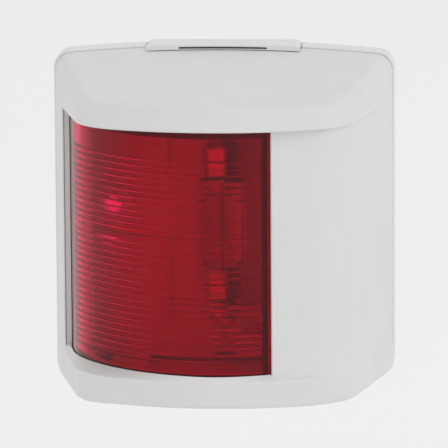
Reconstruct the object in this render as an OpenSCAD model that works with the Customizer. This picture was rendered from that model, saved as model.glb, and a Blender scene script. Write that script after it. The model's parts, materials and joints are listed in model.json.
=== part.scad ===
// Port side light for a small boat: a sector lamp of 112.5 degrees with a snap-on, swing-down cover.
// Millimetres. X runs along the base, Y points into the surface it is screwed to, Z is up.
// The origin is the centre of the back (mounting) face, so the lamp looks towards -Y.

/* [Case] */
// Width of the base and of the cover's back edge
case_w = 80; // [79:0.5:81]
// Height of the crown of the arched top above the origin
crown_z = 38.8; // [38.6:0.1:39]
// Radius of the arched top
crown_r = 390; // [360:10:420]
// Depth of the base rim, back face to front edge
rim_d = 6; // [5.9:0.1:6]
// Slope of the hood's top, degrees down towards the front
hood_tilt = 9.65; // [9:0.1:10]
// Wall thickness of the mouldings
wall = 2; // [1.8:0.1:2.2]

/* [Hood and lip] */
// Height of the brim's lower edge
brim_z = 25.9; // [25.6:0.1:26.2]
// How far the middle of the brim stands out from the back face
brim_y = 52.5; // [52.3:0.1:53]
// Plan radius of the brim
brim_r = 61.5; // [60:0.5:63]
// How far the middle of the bottom lip stands out from the back face
lip_y = 50.4; // [50.2:0.1:50.8]
// Plan radius of the bottom lip
lip_r = 64.8; // [63:0.5:67]
// Height of the ledge in front of the lens
ledge_z = -31.1; // [-31.3:0.1:-30.9]

/* [Lens] */
// Outer radius of the lens about the bulb's axis
lens_r = 34.5; // [34.3:0.1:34.6]
// Thickness of the lens wall
lens_t = 2.2; // [2:0.1:2.3]
// Distance of the bulb's axis from the back face
bulb_y = 15; // [14.8:0.1:15.2]
// Pitch of the ribs inside the lens
rib_pitch = 1.5; // [1.4:0.1:1.8]

/* [Fixing] */
// Distance between the two mounting screws
screw_pitch = 54; // [50:1:56]
// Diameter of the mounting screw holes
screw_d = 4.5; // [4:0.1:5]
// Bore of the cable grommet
cable_d = 6.5; // [5:0.5:7]

/* [Bulb] */
// Length of the festoon bulb, tip to tip
bulb_len = 41; // [40.8:0.1:41.2]
// Diameter of its glass
glass_d = 11; // [10:0.5:11]

/* [Hidden] */
$fn = 64;

hw = case_w / 2;
bot_z = -38.8;                    // underside of the case
cov_y = rim_d + 0.4;              // back edge of the cover
ax_y = -8.5;                      // hinge axis of the cover
ax_z = bot_z + 2.1;
pin_r = 1.2;
bulb_z = -1;                      // middle of the bulb
a_left = 180;                     // sector of the lens, degrees in plan
a_right = 292.5;
lens_top = brim_z + 1.7;
lens_bot = ledge_z - 1.6;
up = crown_z - 37.5;                // the features of the top go up with the crown
tab_z = 38.2 + up;                     // top of the catch
tab_front = 9.2;

// ---------- shapes shared by several pieces ----------

// outline of the case seen from the front, drawn inset by o
module case2d(o = 0, rf = 4, rb = 3) {
    R = crown_r - o;
    zc = crown_z - crown_r;
    cx = hw - o - rf;
    cz = zc + sqrt(pow(R - rf, 2) - cx * cx);
    tx = cx * R / (R - rf);
    b = bot_z + o;
    intersection() {
        translate([0, zc]) circle(r = R, $fn = 256);
        translate([-tx, b + rb]) square([2 * tx, 90]);
    }
    translate([-(hw - o), b + rb]) square([2 * (hw - o), cz - b - rb]);
    translate([-(hw - o - rb), b]) square([2 * (hw - o - rb), rb + 1]);
    for (s = [-1, 1]) {
        translate([s * cx, cz]) circle(r = rf);
        translate([s * (hw - o - rb), b + rb]) circle(r = rb);
    }
}

// case outline as a slab from y = -y0 forwards to y = -y1
module case_slab(y0, y1, o = 0, rf = 4, rb = 3)
    translate([0, -y0, 0]) rotate([90, 0, 0]) linear_extrude(y1 - y0) case2d(o, rf, rb);

// plan of the cover: straight sides that draw in towards the front, an arched front, rounded corners
module plan2d(R, apex, inset = 0, rc = 6, back = 0) {
    y0 = -(back > 0 ? back : cov_y);
    d = [-0.286, -0.95823];
    n = [-0.95823, 0.286];
    p0 = [hw, -cov_y];
    A = [0, R - apex];
    q = p0 + (inset + rc) * n - A;
    qd = q * d;
    t = -qd + sqrt(qd * qd - q * q + pow(R - rc, 2));
    C = A + q + t * d;
    S = p0 + inset * n + t * d;
    T = A + (C - A) * R / (R - rc);
    u = (y0 - (p0 + inset * n)[1]) / d[1];
    B = p0 + inset * n + u * d;
    // the corner is a run of short chords between its tangent points
    e0 = atan2(S[1] - C[1], S[0] - C[0]);
    e1 = atan2(T[1] - C[1], T[0] - C[0]);
    K = [for (i = [0:4]) C + rc * [cos(e0 + (e1 - e0) * i / 4), sin(e0 + (e1 - e0) * i / 4)]];
    M = [for (i = [4:-1:0]) [-K[i][0], K[i][1]]];
    E = K[4] + (K[4] - K[3]);          // runs on past the arc, which trims it
    intersection() {
        polygon(concat([B], [for (i = [0:3]) K[i]], [E, [E[0], -apex - 4], [-E[0], -apex - 4], [-E[0], E[1]]],
            [for (i = [1:4]) M[i]], [[-B[0], B[1]]]));
        translate(A) circle(r = R, $fn = 256);
    }
}

// everything below the sloping arched top of the hood, lowered by o
module under_hood(o = 0)
    translate([0, -cov_y, crown_z]) rotate([hood_tilt, 0, 0]) translate([0, 0, -crown_r])
        rotate([90, 0, 0]) cylinder(r = crown_r - o, h = 150, center = true, $fn = 256);

// a sector about the bulb's axis, swept from a0 to a1 degrees
module sector(a0, a1) translate([0, -bulb_y, 0]) rotate([0, 0, a0]) rotate_extrude(angle = a1 - a0, $fn = 128) children();

// wedge of plan about the bulb's axis
module wedge2d(a0, a1, r = 90) translate([0, -bulb_y]) polygon([[0, 0], [r * cos(a0), r * sin(a0)],
        [r * 1.1 * cos((a0 + a1) / 2), r * 1.1 * sin((a0 + a1) / 2)], [r * cos(a1), r * sin(a1)]]);

// rod along Y from y = -y0 forwards to y = -y1, at x, z
module rod_y(x, z, r, y0, y1) translate([x, -y0, z]) rotate([90, 0, 0]) cylinder(r = r, h = y1 - y0);

// rod along X from x0 to x1 on the hinge axis
module rod_x(r, x0, x1) translate([x0, ax_y, ax_z]) rotate([0, 90, 0]) cylinder(r = r, h = x1 - x0);

// ---------- base ----------

term_x = 11;                       // terminal, beside the strip
term_dz = 25.5;                    // rivet and terminal, above and below the bulb's middle
riv_dz = 25.5;
grom_x = 22;
grom_z = -22;
boss_y = 8;

module base_plate() color("whitesmoke") {
    difference() {
        union() {
            // floor and rim
            difference() {
                case_slab(0, rim_d);
                case_slab(3.5, rim_d + 1, 1.2, 2.8, 1.8);
                case_slab(-1, 1.5, 1.2, 2.8, 1.8);
            }
            // spigot that enters the cover, cut short along the bottom
            difference() {
                case_slab(3.4, 8.4, 3.2, 1.2, 1.2);
                case_slab(3, 9, 4.8, 0.8, 0.8);
                translate([-50, -12, bot_z - 1]) cube([100, 12 - 6.1, 6.5]);
                translate([-12.2, -10, 30 + up]) cube([24.4, 10 - 5.4, 8]);
            }
            // screw bosses, through the gasket to the back face
            for (s = [-1, 1]) rod_y(s * screw_pitch / 2, 0, 5, 0, 5.5);
            // boss round the cable grommet
            rod_y(grom_x, grom_z, 6.2, 0, 3.6);
            // contact bosses with a rib between each pair
            for (s = [-1, 1]) translate([0, 0, bulb_z]) {
                rod_y(0, s * riv_dz, 3.2, 3.4, boss_y);
                rod_y(term_x, s * term_dz, 3.6, 3.4, boss_y);
                translate([0, -boss_y, s * riv_dz - 1]) cube([term_x, boss_y - 3.4, 2]);
            }
            // low stiffening ribs on the floor
            for (x = [-14, 30.5]) translate([x - 0.6, -5, -27]) cube([1.2, 1.6, 20]);
            for (x = [-14, 30.5]) translate([x - 0.6, -5, 8]) cube([1.2, 1.6, 19]);
            // hinge arms along the bottom edge and their trunnion pins
            for (s = [-1, 1]) {
                translate([s * 20 - 2, -8.5, bot_z + 0.2]) cube([4, 3.5, 1.0]);
                rod_x(1.9, s * 20 - 2, s * 20 + 2);
                rod_x(pin_r, s * 24.2 - 2.3, s * 24.2 + 2.3);
            }
            // raised ridge that the catch springs from
            intersection() {
                translate([0, 0, 0]) rotate([90, 0, 0]) linear_extrude(1) tab2d(0);
                translate([-30, -2, 30]) cube([60, 2, 12]);
            }
        }
        // seat for the catch in the top rim
        translate([0, -1, up]) rotate([90, 0, 0]) linear_extrude(6) polygon([[-17.8, 36.2],
            [-19.4, 36.9], [-17.4, 38.6], [17.4, 38.6], [19.4, 36.9], [17.8, 36.2]]);
        // screw holes and the grommet's hole
        for (s = [-1, 1]) rod_y(s * screw_pitch / 2, 0, screw_d / 2, -1, 7);
        rod_y(grom_x, grom_z, 4.6, -1, 7);
        // holes for the rivets and the threaded inserts
        for (s = [-1, 1]) translate([0, 0, bulb_z]) {
            rod_y(0, s * riv_dz, 1.25, 4.4, 9);
            rod_y(term_x, s * term_dz, 2.2, 4, 9);
        }
        // drain slot at the bottom of the spigot
        translate([-2.5, -6.2, bot_z + 3]) cube([5, 2.7, 2.2]);
    }
}

module tab2d(g) polygon([[-17.5 - g, 36.5 + up - g], [-18.9 - g, 37.0 + up], [-17 - g, tab_z], [17 + g, tab_z], [18.9 + g, 37.0 + up], [17.5 + g, 36.5 + up - g]]);

module mounting_gasket() color("dimgray") difference() {
    case_slab(0, 1.5, 1.3, 2.7, 1.7);
    case_slab(-1, 2, 6, 2, 2);
}

module body_seal() color("dimgray") difference() {
    case_slab(3.5, 6.1, 1.2, 2.8, 1.8);
    case_slab(3, 7, 3.2, 1.2, 1.2);
}

module cable_grommet() color("black") translate([grom_x, 0, grom_z]) rotate([90, 0, 0])
    rotate_extrude() difference() {
        union() {
            square([4.6, 5]);                              // through the floor
            translate([0, 3.6]) square([6.6, 1.4]);        // flange inside the case
            translate([0, 0]) square([4.6, 1]);
        }
        translate([-1, -1]) square([cable_d / 2 + 1, 8]);
    }

// spring contact: foot riveted to its boss, side tag under the terminal, arm out to the bulb's tip
module contact(s) translate([0, 0, bulb_z]) {
    tz = s * term_dz;
    difference() {
        union() {
            translate([-3.5, -8.4, s > 0 ? 19.2 : -29.2]) cube([7, 0.4, 10]);
            translate([3, -8.4, tz - 3]) cube([11.5, 0.4, 6]);
        }
        rod_y(0, tz, 1.27, 7, 9);
        rod_y(term_x, tz, 1.7, 7, 9);
    }
    difference() {
        union() {
            translate([-3.5, -18.4, s > 0 ? 19.2 : -19.6]) cube([7, 10.4, 0.4]);
            translate([0, -18.4, s > 0 ? 19.2 : -19.6]) intersection() {
                cylinder(r = 3.5, h = 0.4);
                translate([-4, -4, 0]) cube([8, 4, 0.4]);
            }
        }
        translate([0, -bulb_y, s > 0 ? 19 : -20]) cylinder(r = 2.75, h = 1);
    }
    // turned-up lead at the front of the arm
    translate([-1.5, -21.9, s > 0 ? 19.2 : -21.1]) cube([3, 0.4, 1.9]);
}

module upper_contact() color("silver") contact(1);
module lower_contact() color("silver") contact(-1);

module contact_rivets() color("gold") for (s = [-1, 1]) translate([0, 0, bulb_z]) {
    rod_y(0, s * riv_dz, 1.25, 4.6, 8.6);
    difference() {
        rod_y(0, s * riv_dz, 2.2, 8.4, 9.1);
        rod_y(0, s * riv_dz, 0.8, 8.8, 9.3);
    }
}

module terminal_inserts() color("gold") for (s = [-1, 1]) translate([0, 0, bulb_z]) difference() {
    rod_y(term_x, s * term_dz, 2.2, 4, boss_y);
    rod_y(term_x, s * term_dz, 1.5, 4.4, boss_y + 1);
}

module terminal_clamps() color("silver") for (s = [-1, 1]) translate([0, 0, bulb_z]) difference() {
    translate([term_x - 3.2, -9, s * term_dz - 3.2]) cube([6.4, 0.6, 6.4]);
    rod_y(term_x, s * term_dz, 1.6, 8, 10);
}

module terminal_screws() color("gold") for (s = [-1, 1]) translate([0, 0, bulb_z]) difference() {
    union() {
        rod_y(term_x, s * term_dz, 1.48, 4.9, 9.2);
        rod_y(term_x, s * term_dz, 2.8, 9, 10.4);
        translate([term_x, -10.4, s * term_dz]) rotate([90, 0, 0]) cylinder(r1 = 2.8, r2 = 2.2, h = 0.4);
    }
    translate([term_x, -11, s * term_dz]) rotate([0, s * 25, 0]) translate([-4, 0, -0.4]) cube([8, 1.5, 0.8]);
}

// sprung catch over the top of the cover, with a slot for a screwdriver under its front edge
module catch_tab() color("white") difference() {
    union() {
        translate([0, -1.02, 0]) rotate([90, 0, 0]) linear_extrude(tab_front - 1.02) tab2d(0);
        // hook with a sloped lead
        translate([-8, 0, up]) rotate([90, 0, 90]) linear_extrude(16)
            polygon([[-8.6, 36.7], [-8.5, 36.2], [-8.1, 35.7], [-7.4, 35.7], [-7.4, 36.7]]);
    }
    // slot for the screwdriver
    translate([-10.3, -tab_front - 1, 36 + up]) cube([20.6, 1.0 + 0.55, 1.35]);
    // thinned root where it bends
    translate([-15, -2.6, 36 + up]) cube([30, 1.2, 1.2]);
}

// ---------- bulb ----------

module bulb_at() translate([0, -bulb_y, bulb_z]) children();

module glass2d(o) {
    r = glass_d / 2 - o;
    translate([0, -8.2]) square([r, 16.4]);
    for (s = [-1, 1]) {
        translate([0, s > 0 ? 8 : -(11.2 - o)]) square([r - 3 + o, 3.2 - o]);
        intersection() {
            translate([r - 3 + o, s * 8.2]) circle(r = 3 - o);
            translate([0, -15]) square([10, 30]);
        }
    }
    translate([0, -(13.8 - o)]) square([3.85 - o, 2 * (13.8 - o)]);
}

module bulb_glass() color("lightblue", 0.4) bulb_at() rotate_extrude() difference() {
    glass2d(0);
    glass2d(0.6);
}

module cap(s) bulb_at() scale([1, 1, 1]) rotate([s > 0 ? 0 : 180, 0, 0]) rotate_extrude() difference() {
    h = bulb_len / 2;
    polygon([[0, 11.4], [4.25, 11.4], [4.25, h - 2.7], [1.1, h], [0, h]]);
    polygon([[-1, 11], [3.95, 11], [3.95, h - 3.2], [0.9, h - 0.6], [-1, h - 0.6]]);
}

module bulb_upper_cap() color("silver") cap(1);
module bulb_lower_cap() color("silver") cap(-1);

module bulb_filament() color("dimgray") bulb_at() cylinder(r = 0.45, h = 9, center = true);

module filament_leads() color("silver") bulb_at() for (s = [0, 180]) rotate([s, 0, 0])
    translate([0, 0, 4.6]) cylinder(r = 0.25, h = 8.4);

// ---------- cover ----------

slot_in = lens_r - lens_t - 0.1;      // groove that holds the edge of the lens
slot_out = lens_r + 0.1;
bay_r = 31;

// space inside the cover, in plan
module bay2d() intersection() {
    plan2d(84, 46.4, 2.4, 4, 5);
    union() {
        translate([0, -bulb_y]) circle(r = bay_r);
        wedge2d(301, 375);
        translate([-45, -12.6]) square([90, 10]);
    }
}

module hood_solid(o) intersection() {
    translate([0, 0, 10]) linear_extrude(40) plan2d(brim_r - o + 0.4, brim_y - o + 0.4, o, o > 0 ? 3 : 6, o > 0 ? 5 : 0);
    under_hood(o > 0 ? 2.3 : 0);
    // front band leans back above the brim
    translate([0, brim_r - brim_y, brim_z]) cylinder(r1 = brim_r - o, r2 = brim_r - o - 0.46 * 14, h = 14, $fn = 256);
    if (o == 0) case_slab(cov_y, 60);
    else case_slab(5, 60, o, 2.2, 1.2);
}

module front_cover() color("white") difference() {
    union() {
        // hood, with the shelf that carries the top of the lens
        difference() {
            hood_solid(0);
            intersection() {
                hood_solid(2.1);
                translate([-50, -60, brim_z + 3]) cube([100, 60, 30]);
            }
            translate([0, 0, brim_z - 1]) linear_extrude(5) bay2d();
        }
        // plain wall on the inboard side, from the lens round to the back
        difference() {
            translate([0, 0, ledge_z - 2.2]) linear_extrude(brim_z - ledge_z + 3.6) intersection() {
                plan2d(84, 48.8, 0.4, 6);
                wedge2d(a_right, 390, 60);
            }
            translate([0, 0, bot_z]) linear_extrude(80) bay2d();
        }
        // strut on the outboard side
        difference() {
            translate([0, 0, ledge_z - 2.4]) linear_extrude(brim_z - ledge_z + 3.9) intersection() {
                plan2d(84, 48.8, 0.4, 6);
                translate([-45, -17.5]) square([20, 15]);
            }
            translate([0, 0, bot_z]) linear_extrude(80) bay2d();
        }
        // bottom: floor, lip and the ledge that carries the foot of the lens
        difference() {
            intersection() {
                translate([0, 0, bot_z]) linear_extrude(ledge_z - bot_z) plan2d(lip_r + 0.4, lip_y + 0.4);
                case_slab(cov_y, 60);
                // lip leans back below its crease and is chamfered above it
                union() {
                    translate([0, lip_r - lip_y, bot_z]) cylinder(r1 = lip_r - 2.1, r2 = lip_r, h = ledge_z - 0.9 - bot_z, $fn = 256);
                    translate([0, lip_r - lip_y, ledge_z - 0.9]) cylinder(r1 = lip_r, r2 = lip_r - 1.3, h = 0.9, $fn = 256);
                }
            }
            translate([0, 0, ledge_z - 3.4]) linear_extrude(5) bay2d();
            translate([0, 0, bot_z + wall]) linear_extrude(ledge_z - 3.3 - bot_z - wall) intersection() {
                plan2d(lip_r - 3.4, lip_y - 3.4, 3.1, 4, 5);
                translate([-50, -60]) square([100, 60]);
            }
        }
        // rib behind the catch's recess
        intersection() {
            translate([-11, -9.6, 33.6 + up]) cube([22, 9.6 - cov_y, 5]);
            hood_solid(0);
        }
        // hinge knuckles
        for (s = [-1, 1]) rod_x(2.1, s * 24.45 - 2.35, s * 24.45 + 2.35);
    }
    // groove for the lens and its seal
    sector(a_left - 3.4, a_right + 3.4) translate([slot_in, lens_bot - 0.8]) square([slot_out - slot_in, lens_top - lens_bot + 1.6]);
    // recess and groove for the catch
    translate([-19.3, -9.7, 36.15 + up]) cube([38.6, 5, 6]);
    translate([-8.4, -8.95, 35.3 + up]) cube([16.8, 1.9, 3]);
    // bottom back edge rounded about the hinge axis
    difference() {
        translate([-50, ax_y, bot_z - 1]) cube([100, 5, 3.1]);
        rod_x(2.1, -50, 50);
    }
    // gaps for the base's hinge arms
    for (s = [-1, 1]) translate([s * 19.925 - 2.325, -11, bot_z - 1]) cube([4.65, 6, 5.3]);
    // knuckle bores, open at the back to snap on
    for (s = [-1, 1]) {
        rod_x(pin_r + 0.06, s * 24.55 - 2.5, s * 24.55 + 2.5);
        translate([s * 24.55 - 2.5, ax_y, ax_z - 0.95]) cube([5, 4, 1.9]);
    }
    // holes for the rivets of the light screen
    for (z = [-18, 18]) translate([0, -bulb_y, z]) rotate([0, 0, 298.9]) rotate([0, 90, 0]) cylinder(r = 1, h = 33.4);
}

// ribs on the inside of the lens, with a plain band at the top
module lens() color("red", 0.6) sector(a_left - 2, a_right + 2) difference() {
    translate([lens_r - lens_t, lens_bot]) square([lens_t, lens_top - lens_bot]);
    n = floor((17 - (ledge_z + 2)) / rib_pitch);
    for (i = [0:n - 1]) translate([lens_r - lens_t, ledge_z + 2 + i * rib_pitch])
        polygon([[-0.1, 0], [0.45, rib_pitch * 0.35], [-0.1, rib_pitch * 0.85]]);
}

module lens_seal() color("black") {
    difference() {
        sector(a_left - 3.4, a_right + 3.4) translate([slot_in, lens_bot - 0.8]) square([slot_out - slot_in, lens_top - lens_bot + 1.6]);
        sector(a_left - 2.0, a_right + 2.0) translate([slot_in - 1, lens_bot]) square([slot_out - slot_in + 2, lens_top - lens_bot]);
    }
}

module light_screen() color("darkslategray") difference() {
    sector(a_right + 0.8, 345) translate([bay_r - 1, -27.5]) square([0.95, 52]);
    for (z = [-18, 18]) translate([0, -bulb_y, z]) rotate([0, 0, 298.9]) rotate([0, 90, 0]) cylinder(r = 1, h = 33);
}

module screen_rivets() color("gray") for (z = [-18, 18]) translate([0, -bulb_y, z]) rotate([0, 0, 298.9]) rotate([0, 90, 0]) {
    translate([0, 0, bay_r - 1.8]) cylinder(r = 2, h = 0.68);
    translate([0, 0, bay_r - 1.4]) cylinder(r = 1, h = 3.5);
}

base_plate();
mounting_gasket();
body_seal();
cable_grommet();
upper_contact();
lower_contact();
contact_rivets();
terminal_inserts();
terminal_clamps();
terminal_screws();
catch_tab();
bulb_glass();
bulb_upper_cap();
bulb_lower_cap();
bulb_filament();
filament_leads();
front_cover();
lens();
lens_seal();
light_screen();
screen_rivets();
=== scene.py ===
import json
import math

import bmesh
import bpy
import numpy as np
from mathutils import Matrix, Vector

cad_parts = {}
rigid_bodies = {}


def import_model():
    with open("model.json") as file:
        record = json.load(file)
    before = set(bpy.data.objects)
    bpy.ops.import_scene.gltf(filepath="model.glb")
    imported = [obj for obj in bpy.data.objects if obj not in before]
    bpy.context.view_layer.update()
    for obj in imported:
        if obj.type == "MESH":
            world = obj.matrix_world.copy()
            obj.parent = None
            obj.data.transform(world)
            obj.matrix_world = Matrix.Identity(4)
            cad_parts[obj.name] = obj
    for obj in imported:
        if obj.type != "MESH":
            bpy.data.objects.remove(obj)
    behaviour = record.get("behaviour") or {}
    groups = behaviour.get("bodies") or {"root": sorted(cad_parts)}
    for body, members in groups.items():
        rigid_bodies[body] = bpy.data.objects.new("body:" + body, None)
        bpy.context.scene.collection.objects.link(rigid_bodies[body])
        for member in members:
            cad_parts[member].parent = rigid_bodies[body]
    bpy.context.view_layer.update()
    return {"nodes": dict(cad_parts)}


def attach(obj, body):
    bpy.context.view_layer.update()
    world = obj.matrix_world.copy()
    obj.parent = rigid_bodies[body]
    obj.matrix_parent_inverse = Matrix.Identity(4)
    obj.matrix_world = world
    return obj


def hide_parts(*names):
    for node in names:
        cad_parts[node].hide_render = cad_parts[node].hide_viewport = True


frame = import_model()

NODES = frame["nodes"]

# ------------------------------------------------------------------ dimensions, mm, as the CAD
HW = 40.0
CROWN_Z, CROWN_R = 39.3, 390.0
UP = 1.3
RIM_D, COV_Y = 6.0, 6.4
TILT = math.tan(math.radians(9.65))
BRIM_Z, BRIM_Y, BRIM_R = 25.9, 52.5, 61.5
LIP_Y, LIP_R = 50.4, 64.8
BOT_Z, LEDGE_Z = -38.8, -31.1
CREASE_Z, FOOT_Z = -32.1, -30.75
LENS_R, LENS_T, BULB_Y, BULB_Z = 34.5, 2.2, 15.0, -1.0
LENS_TOP, LENS_BOT = BRIM_Z + 1.7, LEDGE_Z - 1.6
A_LEFT, A_RIGHT = 180.0, 292.5
SLOT_IN, SLOT_OUT = LENS_R - LENS_T - 0.1, LENS_R + 0.22
AX_Y, AX_Z, PIN_R = -8.5, BOT_Z + 2.1, 1.2
TAB_Z, TAB_FRONT, TAB_X = 38.2 + UP, 9.2, 18.2
TERM_X, TERM_DZ = 11.0, 25.5
GROM_X, GROM_Z = 22.0, -22.0
STRUT_Y = -15.6

work = bpy.data.collections.new("work")
bpy.context.scene.collection.children.link(work)
COUNT = [0]


# ------------------------------------------------------------------ mesh helpers (all in mm until finished)
def raw(V, F, name="w"):
    COUNT[0] += 1
    me = bpy.data.meshes.new(f"{name}{COUNT[0]}")
    me.from_pydata([tuple(map(float, v)) for v in V], [], [list(map(int, f)) for f in F])
    bm = bmesh.new()
    bm.from_mesh(me)
    bmesh.ops.remove_doubles(bm, verts=bm.verts, dist=2e-5)
    bmesh.ops.dissolve_degenerate(bm, edges=bm.edges, dist=1e-6)
    bmesh.ops.recalc_face_normals(bm, faces=bm.faces)
    bm.to_mesh(me)
    bm.free()
    o = bpy.data.objects.new(me.name, me)
    work.objects.link(o)
    return o


def rings(R, close_u=True, cap0=True, cap1=True):
    """A closed solid through a list of loops with the same number of points."""
    n = len(R[0])
    V = np.vstack(R)
    F = []
    for j in range(len(R) - 1):
        for i in range(n if close_u else n - 1):
            k = (i + 1) % n
            F.append([j * n + i, j * n + k, (j + 1) * n + k, (j + 1) * n + i])
    if cap0:
        F.append(list(range(n))[::-1])
    if cap1:
        F.append([(len(R) - 1) * n + i for i in range(n)])
    return raw(V, F)


def torus_rings(R):
    """Loops joined round into a ring-shaped solid."""
    n, m = len(R[0]), len(R)
    V = np.vstack(R)
    F = []
    for j in range(m):
        for i in range(n):
            k, l = (i + 1) % n, (j + 1) % m
            F.append([j * n + i, j * n + k, l * n + k, l * n + i])
    return raw(V, F)


def csg(base, tools, op="DIFFERENCE"):
    tools = tools if isinstance(tools, (list, tuple)) else [tools]
    for t in tools:
        m = base.modifiers.new("b", "BOOLEAN")
        m.operation, m.object, m.solver = op, t, "MANIFOLD"
    dg = bpy.context.evaluated_depsgraph_get()
    me = bpy.data.meshes.new_from_object(base.evaluated_get(dg))
    base.modifiers.clear()
    old = base.data
    base.data = me
    bpy.data.meshes.remove(old)
    for t in tools:
        bpy.data.objects.remove(t)
    if not me.polygons:
        raise RuntimeError("a boolean came out empty")
    return base


def union(base, *tools):
    return csg(base, list(tools), "UNION")


def cut(base, *tools):
    return csg(base, list(tools), "DIFFERENCE")


def common(base, *tools):
    return csg(base, list(tools), "INTERSECT")


def moved(o, M):
    o.data.transform(M)
    if M.determinant() < 0:
        o.data.flip_normals()
    return o


def box(x0, x1, y0, y1, z0, z1, r=0.0, seg=3):
    o = raw(
        [(x, y, z) for x in (x0, x1) for y in (y0, y1) for z in (z0, z1)],
        [(0, 1, 3, 2), (4, 6, 7, 5), (0, 4, 5, 1), (2, 3, 7, 6), (0, 2, 6, 4), (1, 5, 7, 3)],
    )
    if r > 0:
        bm = bmesh.new()
        bm.from_mesh(o.data)
        bmesh.ops.bevel(bm, geom=bm.edges[:], offset=r, segments=seg, profile=0.5, affect="EDGES")
        bmesh.ops.recalc_face_normals(bm, faces=bm.faces)
        bm.to_mesh(o.data)
        bm.free()
    return o


def prism(P, a, b, axis="z", r=0.0, seg=3):
    """Polygon P (2-D, counter-clockwise) extruded from a to b. axis z: (x, y); axis y: P holds (x, z); axis x: P holds (y, z).
    r rounds the arris at both ends."""
    P = np.array(P, float)

    def place(Q, t):
        T = np.full(len(Q), t)
        if axis == "z":
            return np.c_[Q[:, 0], Q[:, 1], T]
        if axis == "y":
            return np.c_[Q[:, 0], T, Q[:, 1]]
        return np.c_[T, Q[:, 0], Q[:, 1]]

    if r <= 0:
        return rings([place(P, a), place(P, b)])
    N = normals2(P)
    s = 1 if b > a else -1
    L = []
    for k in range(seg + 1):
        f = math.pi / 2 * k / seg
        L.append(place(P + N * r * (1 - math.sin(f)), a + s * r * (1 - math.cos(f))))
    for k in range(seg + 1):
        f = math.pi / 2 * k / seg
        L.append(place(P + N * r * (1 - math.cos(f)), b - s * r * (1 - math.sin(f))))
    return rings(L)


def normals2(P):
    """Inward mitre vectors of a closed counter-clockwise polygon."""
    P = np.array(P, float)
    area = np.sum(P[:, 0] * np.roll(P[:, 1], -1) - np.roll(P[:, 0], -1) * P[:, 1])
    d = np.roll(P, -1, 0) - P
    d /= np.linalg.norm(d, axis=1)[:, None] + 1e-12
    n = np.c_[-d[:, 1], d[:, 0]] * (1 if area > 0 else -1)
    m = n + np.roll(n, 1, 0)
    m /= np.linalg.norm(m, axis=1)[:, None] + 1e-12
    c = np.clip(np.sum(m * n, 1), 0.4, 1)
    return m / c[:, None]


def round_poly(P, R, seg=5):
    """Rounds each corner of a closed polygon with the radii in R."""
    P = np.array(P, float)
    n = len(P)
    R = [R] * n if np.isscalar(R) else list(R)
    out = []
    for i in range(n):
        p, a, b = P[i], P[i - 1], P[(i + 1) % n]
        r = R[i]
        if r <= 0:
            out.append(p)
            continue
        u, v = (a - p) / np.linalg.norm(a - p), (b - p) / np.linalg.norm(b - p)
        th = math.acos(max(-1, min(1, float(u @ v))))
        if th > math.pi - 1e-3:
            out.append(p)
            continue
        t = r / math.tan(th / 2)
        t = min(t, 0.49 * np.linalg.norm(a - p), 0.49 * np.linalg.norm(b - p))
        rr = t * math.tan(th / 2)
        w = (u + v) / np.linalg.norm(u + v)
        c = p + w * rr / math.sin(th / 2)
        q0, q1 = p + u * t - c, p + v * t - c
        a0, a1 = math.atan2(q0[1], q0[0]), math.atan2(q1[1], q1[0])
        da = (a1 - a0 + math.pi) % (2 * math.pi) - math.pi
        for k in range(seg + 1):
            f = a0 + da * k / seg
            out.append(c + rr * np.array([math.cos(f), math.sin(f)]))
    return np.array(out)


def revolve(P, steps=64, M=None):
    """Profile P of (radius, height), revolved about Z; points on the axis close it."""
    P = np.array(P, float)
    V, F = [], []
    for k in range(steps):
        f = 2 * math.pi * k / steps
        V.append(np.c_[P[:, 0] * math.cos(f), P[:, 0] * math.sin(f), P[:, 1]])
    V = np.vstack(V)
    n = len(P)
    closed = P[0, 0] > 1e-9 or P[-1, 0] > 1e-9
    for k in range(steps):
        l = (k + 1) % steps
        for i in range(n if closed else n - 1):
            j = (i + 1) % n
            F.append([k * n + i, l * n + i, l * n + j, k * n + j])
    o = raw(V, F)
    if M is not None:
        moved(o, M)
    return o


def rev_profile(P, R, seg=4):
    """Rounds the inner corners of an open profile that starts and ends on the axis."""
    P = [np.array(p, float) for p in P]
    out = [P[0]]
    for i in range(1, len(P) - 1):
        r = R[i] if not np.isscalar(R) else R
        if r <= 0:
            out.append(P[i])
            continue
        q = round_poly([P[i - 1], P[i], P[i + 1]], [0, r, 0], seg)
        out += [x for x in q[1:-1]]
    out.append(P[-1])
    return np.array(out)


def along_y(x, z, y0=0.0):
    """Turns something built along +Z into one that runs forwards (-Y) from y0 at x, z."""
    return Matrix.Translation((x, y0, z)) @ Matrix.Rotation(math.pi / 2, 4, "X")


def cyl(r, a, b, M=None, steps=48, e=0.0):
    P = [(0, a), (r, a), (r, b), (0, b)]
    if e > 0:
        P = rev_profile(P, e, 3)
    return revolve(P, steps, M)


def rod_x(r, x0, x1, e=0.0, steps=48):
    return cyl(r, x0, x1, Matrix.Translation((0, AX_Y, AX_Z)) @ Matrix.Rotation(math.pi / 2, 4, "Y"), steps, e)


def sector(P, a0, a1, steps, grow=None):
    """Closed profile of (radius, z) swept about the bulb's axis from a0 to a1 degrees."""
    P = np.array(P, float)
    L = []
    for k in range(steps + 1):
        a = a0 + (a1 - a0) * k / steps
        f = math.radians(a)
        R = P[:, 0] + (grow(a) if grow else 0.0)
        L.append(np.c_[R * math.cos(f), -BULB_Y + R * math.sin(f), P[:, 1]])
    return rings(L)


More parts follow.
